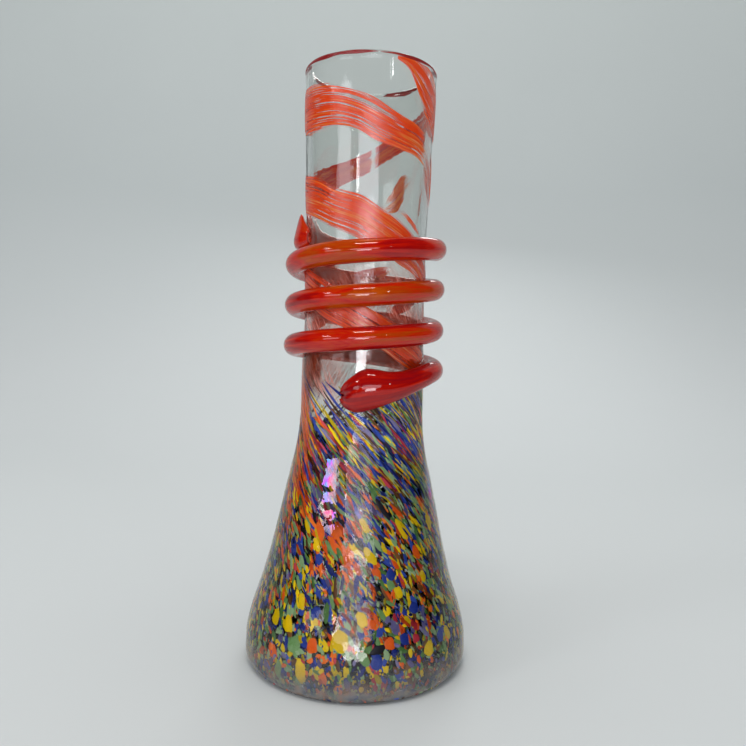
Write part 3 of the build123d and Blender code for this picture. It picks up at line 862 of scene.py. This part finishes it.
class ChipMesh:
    """Collects the chips of one colour."""

    def __init__(self):
        self.vertices, self.faces, self.tints = [], [], []

    def add(self, azimuth, z, ring, height, lift, tint):
        """A low dome over a ring of points, given in millimetres across and up from its place on the wall."""
        turn = 180 / (pi * outside_radius(z))
        rise = 1 / hypot(1, wall_slope(z))
        start, n = len(self.vertices), len(ring)
        for scale, share in DOME:
            for x, y in shrunk(ring, scale):
                self.vertices.append(on_wall(azimuth + x * turn, z + y * rise, lift + height * share))
        x, y = centre_of(ring)
        self.vertices.append(on_wall(azimuth + x * turn, z + y * rise, lift + height))
        self.faces += grid_faces(len(DOME), n, True, start)
        top = start + (len(DOME) - 1) * n
        for j in range(n):
            self.faces.append((top + j, top + (j + 1) % n, top + n))
        self.tints += [tint] * (len(self.vertices) - start)


def blob(rng, long, wide, lean, points):
    """A melted chip's outline: an uneven oval that leans back from the upright."""
    waves = [(n, rng.uniform(0, 0.34 / n), rng.uniform(0, 2 * pi)) for n in (2, 3, 4)]
    ring = []
    for k in range(points):
        a = 2 * pi * k / points
        uneven = 1 + sum(size * sin(n * a + phase) for n, size, phase in waves)
        ring.append(leaned(long * cos(a) * uneven, wide * sin(a) * uneven, lean))
    return ring


def station_at(stations, azimuth):
    """Height and half width of a band at an azimuth, or None where the band isn't."""
    for (a0, z0, w0), (a1, z1, w1) in zip(stations, stations[1:]):
        if a0 <= azimuth <= a1:
            t = (azimuth - a0) / (a1 - a0)
            return z0 + t * (z1 - z0), w0 + t * (w1 - w0)
    return None


def fine_colour(azimuth, z, draw):
    """Colour of a small chip: an even mix, with parts of the bell that are richer in some colours."""
    warm = bell_curve(azimuth, -66, 28) * bell_curve(z, 84, 22)
    pink = bell_curve(azimuth, -28, 17) * bell_curve(z, 74, 14)
    peach = bell_curve(azimuth, -14, 13) * bell_curve(z, 50, 9)
    navy = bell_curve(azimuth, 30, 40) * bell_curve(z, 72, 12)
    dusty = bell_curve(azimuth, 45, 60) * bell_curve(z, 102, 11)
    gains = {
        "orange": 1 + 14 * warm + 10 * peach, "crimson": 1 + 9 * warm + 24 * pink,
        "cobalt": 1 + 1.2 * navy + 1.5 * pink, "black": 1 + 0.8 * navy - 0.6 * warm,
        "lilac": 1 + 5 * pink + 4 * dusty, "amber": 1 + 0.8 * navy + 3 * dusty, "yellow": 1 + 1.2 * dusty,
    }
    return pick([(name, share * gains.get(name, 1)) for name, share in FINE_COLOURS], draw)


def add_cad_chips(meshes):
    """The chips that the CAD part holds, melted smaller and rounder."""
    seeds = scatter_chips()
    rng = random.Random(CHIP_SEED + 1)
    looks = random.Random(TINT_SEED)
    for index, (azimuth, z, _) in enumerate(seeds):
        present, draw = rng.random(), rng.random()
        tint, height, share = looks.random(), looks.uniform(0.10, 0.2), 0.95 - 0.5 * looks.random()
        if present > chip_chance(azimuth, z):
            continue
        corners = chip_outline(seeds, index)
        if outline_area(corners) < 1.5 or z + min(y for _, y in corners) < 1.0:
            continue
        ring = shrunk(rounded(corners, 16), share * (1 - 0.3 * drawn_out(z) ** 2))
        meshes[chip_colour(azimuth, z, draw)].add(azimuth, z, ring, height, 0.0, tint)


def add_fine_chips(meshes):
    """Small frit between and over the larger chips."""
    rng = random.Random(FINE_SEED)
    for i in range(FINE_COUNT):
        azimuth = 360 * ((i * GOLDEN_1) % 1.0) - 180 + rng.uniform(-3, 3)
        z = FINE_LOW + (FINE_HIGH - FINE_LOW) * ((i * GOLDEN_2) % 1.0) ** 1.12 + rng.uniform(-1, 1)
        z = max(z, FINE_LOW)
        wide = (0.28 + 0.92 * rng.random() ** 2.2) * (1 - 0.35 * drawn_out(z))
        long = wide * max(chip_stretch(z), 1.3) * rng.uniform(0.85, 2.1)
        present, draw, tint = rng.random(), rng.random(), rng.random()
        lean = chip_lean(z) + rng.gauss(0, 0.10 + 0.45 * (1 - drawn_out(z)) ** 2)
        ring = blob(rng, min(long, 9), wide, lean, 10)
        shoulder = station_at(RIBBONS["ribbon_shoulder"], azimuth)
        if shoulder and abs(z - shoulder[0]) < shoulder[1]:
            present += 0.35
        if present < chip_chance(azimuth, z) and z + min(y for _, y in ring) > 0.6:
            meshes[fine_colour(azimuth, z, draw)].add(azimuth, z, ring, rng.uniform(0.06, 0.16), 0.06, tint)


def add_large_chips(meshes):
    rng = random.Random(LARGE_SEED)
    for colour, azimuth, z, long, wide in LARGE_CHIPS:
        ring = blob(rng, 0.86 * long, 0.8 * wide, chip_lean(z) * 0.9, 22)
        meshes[colour].add(azimuth, z, ring, 0.16, 0.12, rng.uniform(0.5, 0.8))


def build_chips(materials):
    meshes = {colour: ChipMesh() for colour, _ in CHIP_COLOURS}
    add_cad_chips(meshes)
    add_fine_chips(meshes)
    add_large_chips(meshes)
    for colour, mesh in meshes.items():
        make_piece("frit_" + colour, mesh.vertices, mesh.faces, materials[colour],
                   ["chips_" + colour], tints=mesh.tints)


# ---- Skin, fibres and threads ----
SKIN_LOW, SKIN_HIGH = 0.4, 121.0
FIBRES_LOW, FIBRES_HIGH = 97.0, 152.0
# Patches of the play of colour: azimuth, height, spread of each, strength.
SHEEN_PATCHES = [
    (-25, 73, 7, 9, 1), (-18, 60, 6, 5, 0.9), (2, 61, 4, 3, 0.15), (-12, 87, 4, 3, 0.4),
    (-6, 84, 3, 3, 0.2), (5, 56, 4, 4, 0.1), (150, 70, 8, 10, 0.8), (70, 66, 5, 8, 0.6),
    (-120, 62, 6, 9, 0.7),
]


def build_skin(material, segments=216, rows=150):
    """Clear skin over the frit, which sinks into the wall at both ends."""
    low, high = SKIN_LOW, SKIN_HIGH
    vertices, tints = [], []
    for i in range(rows):
        z = low + (high - low) * i / (rows - 1)
        sunk = min((z - low) / 3, 1) * min((high - z) / 8, 1)
        for j in range(segments):
            azimuth = 360 * j / segments
            turn = (azimuth + 180) % 360 - 180
            at = place(azimuth, outside_radius(z), z) / MM
            uneven = 0.10 * noise.noise(at * 0.22) + 0.04 * noise.noise(at * 0.5)
            vertices.append(on_wall(azimuth, z, -0.05 + sunk * (0.5 + uneven)))
            broken = 1 + 1.4 * noise.noise(at * 0.25)
            play = sum(power * bell_curve(turn, a, wide) * bell_curve(z, middle, tall)
                       for a, middle, wide, tall, power in SHEEN_PATCHES)
            tints.append(unit(play * broken))
    faces = grid_faces(rows, segments, closed=True)
    make_piece("glass_skin", vertices, faces, material, tints=tints)


def build_fibres(material, segments=180, rows=40):
    """Band of streaky glass between the bell and the ribbons."""
    low, high = FIBRES_LOW, FIBRES_HIGH
    vertices, uvs, tints = [], [], []
    for i in range(rows):
        z = low + (high - low) * i / (rows - 1)
        for j in range(segments + 1):
            azimuth = 360 * j / segments
            vertices.append(on_wall(azimuth, z, 0.04))
            uvs.append((z * 0.16 - azimuth * 0.02, azimuth * 0.035 + z * 0.05))
            tints.append(min((z - low) / 6, 1) * min((high - z) / 14, 1))
    faces = grid_faces(rows, segments + 1, closed=False)
    make_piece("neck_fibres", vertices, faces, material, (), uvs, tints)


# Azimuth, height and half width along each long thread.
THREADS = {
    "cobalt": [
        [(-38, 106, 0.2), (-30, 102.4, 0.45), (-20, 98, 0.45), (-12, 94.6, 0.2)],
        [(-34, 100, 0.2), (-26, 96.4, 0.5), (-16, 92, 0.5), (-8, 88.5, 0.2)],
        [(20, 96, 0.3), (28, 92.2, 0.9), (38, 87.5, 0.9), (46, 83.5, 0.3)],
    ],
    "yellow": [
        [(-38, 98, 0.2), (-28, 93.3, 0.6), (-16, 87.8, 0.8), (-6, 83, 0.3)],
        [(46, 102, 0.3), (54, 98, 0.8), (64, 93, 0.8), (72, 89, 0.3)],
    ],
    "amber": [
        [(-36, 103, 0.2), (-28, 99.4, 0.4), (-18, 95, 0.4), (-10, 91.4, 0.2)],
        [(34, 99, 0.3), (42, 95, 0.8), (52, 90, 0.8), (60, 86, 0.3)],
        [(96, 104, 0.3), (106, 99, 0.9), (118, 93, 0.9), (128, 88, 0.3)],
    ],
}
STREAK_COUNT, STREAK_SEED = 520, 47
STREAK_LOW, STREAK_SPAN = 74, 36


def streak_rows(rng, azimuth, z):
    """Stations of one drawn streak: it falls towards +azimuth and tapers at both ends."""
    length = rng.uniform(9, 24)
    width = 0.16 + 0.4 * rng.random() ** 2
    lean = chip_lean(z) + rng.gauss(0.06, 0.05)
    rows = []
    for k in range(9):
        t = k / 8
        across, up = leaned((0.5 - t) * length, 0, lean)
        half = width * sin(pi * (0.06 + 0.88 * t))
        rows.append((azimuth + degrees(across / wall_radius(z)), z + up, half))
    return rows


def build_threads(materials):
    """Long threads drawn out of the frit below the trail, and many finer streaks all round."""
    strands = {}
    for colour, group in THREADS.items():
        strands[colour] = [smooth_stations(stations, 40) for stations in group]
    rng = random.Random(STREAK_SEED)
    for _ in range(STREAK_COUNT):
        azimuth, z = rng.uniform(-180, 180), STREAK_LOW + STREAK_SPAN * rng.random()
        rows, draw, present = streak_rows(rng, azimuth, z), rng.random(), rng.random()
        window = bell_curve(azimuth, -22, 20) * bell_curve(z, 96, 16)
        fade = unit((z - 90 - top_sway(azimuth)) / 14)
        if present < (1 - 0.95 * window) * (1 - 0.93 * fade):
            colour = "cobalt" if draw < 0.42 else "yellow" if draw < 0.66 else "amber"
            strands[colour].append(rows)
    for colour, group in strands.items():
        vertices, faces, tints = [], [], []
        for rows in group:
            faces += grid_faces(len(rows), 3, False, len(vertices))
            tint = rng.uniform(0.1, 0.8)
            for azimuth, z, half in rows:
                for side, lift in ((-1, 0.02), (0, 0.24), (1, 0.02)):
                    vertices.append(on_wall(azimuth, z + side * 1.4 * half, lift))
                    tints.append(tint)
        make_piece("drawn_" + colour, vertices, faces, materials[colour],
                   ["threads_" + colour], tints=tints)


# ---- Stage ----
PAPER_HALF_WIDTH, PAPER_FRONT, PAPER_BEND, PAPER_TOP = 2.5, -1.6, 0.35, 2.4
BEND_RADIUS, BEND_STEPS = 0.8, 16
LIGHT_AIM = 0.12


def pale_paper():
    n = Nodes("pale_paper")
    where = n.position()
    mottle = n.times(n.noise(where, 2.2), 0.25)
    # Painted light and shade: the paper's colour changes with height, darkening a little up the wall and
    # lightening towards the top, with broad noise blotches over it.
    level = n.plus(n.remap(n.coordinate(where, "Z"), 0.0, 0.9, 0.0, 1.0), mottle)
    colour = n.ramp(level, (0.1, (0.58, 0.61, 0.62)), (0.55, (0.54, 0.585, 0.59)), (1.0, (0.61, 0.66, 0.655)))
    return n.finish(n.principled(Base_Color=colour, Roughness=0.9))


def build_backdrop():
    """Pale table that sweeps up into a pale wall. Sizes are metres."""
    profile = [(PAPER_FRONT, 0.0), (PAPER_BEND, 0.0)]
    for i in range(1, BEND_STEPS + 1):
        a = i / BEND_STEPS * pi / 2
        profile.append((PAPER_BEND + BEND_RADIUS * sin(a), BEND_RADIUS * (1 - cos(a))))
    profile.append((1.15, PAPER_TOP))
    vertices = [(x, y, z) for y, z in profile for x in (-PAPER_HALF_WIDTH, PAPER_HALF_WIDTH)]
    faces = grid_faces(len(profile), 2, closed=False)
    add_object("backdrop", smooth_mesh("backdrop", vertices, faces, pale_paper()))


def add_window(name, azimuth, elevation, width, height, radiance, colour=(1, 1, 1), distance=1.5):
    """Soft rectangular light facing the vase, by its size in metres and its radiance."""
    light = bpy.data.lights.new(name, "AREA")
    light.shape = "RECTANGLE"
    light.size, light.size_y = width, height
    light.energy = pi * width * height * radiance
    light.color = colour
    lamp = add_object(name, light)
    a, e = radians(azimuth), radians(elevation)
    offset = Vector((sin(a) * cos(e), -cos(a) * cos(e), sin(e))) * distance
    lamp.location = Vector((0, 0, LIGHT_AIM)) + offset
    lamp.rotation_euler = offset.to_track_quat("Z", "Y").to_euler()
    return lamp


def build_light():
    world = bpy.data.worlds.new("room")
    world.use_nodes = True
    room = world.node_tree.nodes["Background"].inputs
    room["Color"].default_value, room["Strength"].default_value = (0.93, 0.95, 0.96, 1), 0.38
    world.cycles_visibility.glossy = False
    bpy.context.scene.world = world
    add_window("window_narrow", -1, -1.8, 0.50, 0.33, 12.0, (0.98, 0.96, 1.0))
    add_window("window_soft", -1, 10.5, 1.0, 0.32, 3.3, (0.95, 0.91, 1.0))
    add_window("window_left", -46, 12.5, 0.62, 0.32, 3.1, (0.95, 0.95, 1.0))
    add_window("lamp_front", -21, 10.5, 0.08, 0.05, 16.0)
    add_window("lamp_left", -62, 33, 0.30, 0.09, 20.0)
    add_window("lamp_high", -8, 66, 0.55, 0.12, 24.0, (1.0, 0.96, 0.88))
    add_window("slit_right", 34, 20.5, 0.03, 0.11, 40.0)
    add_window("window_back", 172, 34, 0.35, 0.25, 5.0, distance=0.9).visible_transmission = False
    fills = (("fill_left", -80, 20, 0.42), ("fill_right", 85, 20, 0.30), ("fill_back", 170, 50, 0.25))
    for name, azimuth, elevation, radiance in fills:
        fill = add_window(name, azimuth, elevation, 0.5, 0.5, radiance, distance=0.7)
        fill.visible_glossy = fill.visible_transmission = False
    ceiling = add_window("ceiling", 0, 84, 2.2, 1.8, 1.1, (1.0, 0.99, 0.97), distance=2.0)
    ceiling.visible_glossy = False


# Lengths are millimetres, angles radians.
CAMERA_DISTANCE, CAMERA_HEIGHT, CAMERA_SIDE = 269.8, 124.95, 3.92
CAMERA_TILT, CAMERA_ROLL = 0.0597, 0.0295
LENS, SENSOR = 34.26, 36.0


def build_camera():
    data = bpy.data.cameras.new("camera")
    data.lens, data.sensor_width = LENS, SENSOR
    data.clip_start = 0.01
    camera = add_object("camera", data)
    right, up = Vector((1, 0, 0)), Vector((0, sin(CAMERA_TILT), cos(CAMERA_TILT)))
    image_x = right * cos(CAMERA_ROLL) + up * sin(CAMERA_ROLL)
    image_y = -right * sin(CAMERA_ROLL) + up * cos(CAMERA_ROLL)
    turned = Matrix((image_x, image_y, right.cross(up))).transposed().to_4x4()
    where = Vector((CAMERA_SIDE, -CAMERA_DISTANCE, CAMERA_HEIGHT)) * MM
    camera.matrix_world = Matrix.Translation(where) @ turned
    bpy.context.scene.camera = camera


# ---- Put it together ----
# Dark, main and light tone of each colour of frit.
FRIT_TONES = {
    "cobalt": ((0.004, 0.007, 0.045), (0.010, 0.028, 0.24), (0.04, 0.10, 0.48)),
    "sage": ((0.04, 0.13, 0.02), (0.15, 0.31, 0.10), (0.36, 0.50, 0.30)),
    "yellow": ((0.24, 0.20, 0.0), (0.64, 0.46, 0.0), (0.92, 0.68, 0.0)),
    "orange": ((0.34, 0.035, 0.002), (0.70, 0.10, 0.004), (0.90, 0.23, 0.02)),
    "black": ((0.002, 0.002, 0.003), (0.006, 0.006, 0.012), (0.03, 0.025, 0.04)),
    "lilac": ((0.05, 0.04, 0.12), (0.12, 0.11, 0.26), (0.24, 0.22, 0.40)),
    "crimson": ((0.14, 0.005, 0.01), (0.40, 0.02, 0.04), (0.62, 0.07, 0.10)),
    "amber": ((0.025, 0.010, 0.003), (0.09, 0.035, 0.008), (0.24, 0.10, 0.025)),
}


def main():
    build_vessel(clear_glass())
    orange = ribbon_glass("ribbon_orange", (0.55, 0.004, 0.003), (0.98, 0.065, 0.002), (1.0, 0.26, 0.04),
                          (0.85, 0.02, 0.001), cover=0.55)
    thin = ribbon_glass("ribbon_thin", (0.55, 0.02, 0.003), (1.0, 0.13, 0.004), (1.0, 0.32, 0.04),
                        (1.0, 0.13, 0.01), cover=0.52)
    crimson = ribbon_glass("ribbon_crimson", (0.16, 0.003, 0.005), (0.34, 0.008, 0.010), (0.6, 0.05, 0.03),
                           (0.34, 0.008, 0.010), cover=1.2)
    for name, stations in RIBBONS.items():
        build_ribbon(name, stations, thin if name in ("feather_back", "ribbon_shoulder") else orange)
    build_lip_streaks(crimson)
    build_trail(trail_glass())
    frit = {colour: chip_glass("frit_" + colour, *tones) for colour, tones in FRIT_TONES.items()}
    build_chips(frit)
    build_threads(frit)
    build_skin(skin_glass())
    build_fibres(fibre_glass())
    build_backdrop()
    build_light()
    build_camera()
    bpy.context.scene.view_settings.view_transform = "Standard"


main()
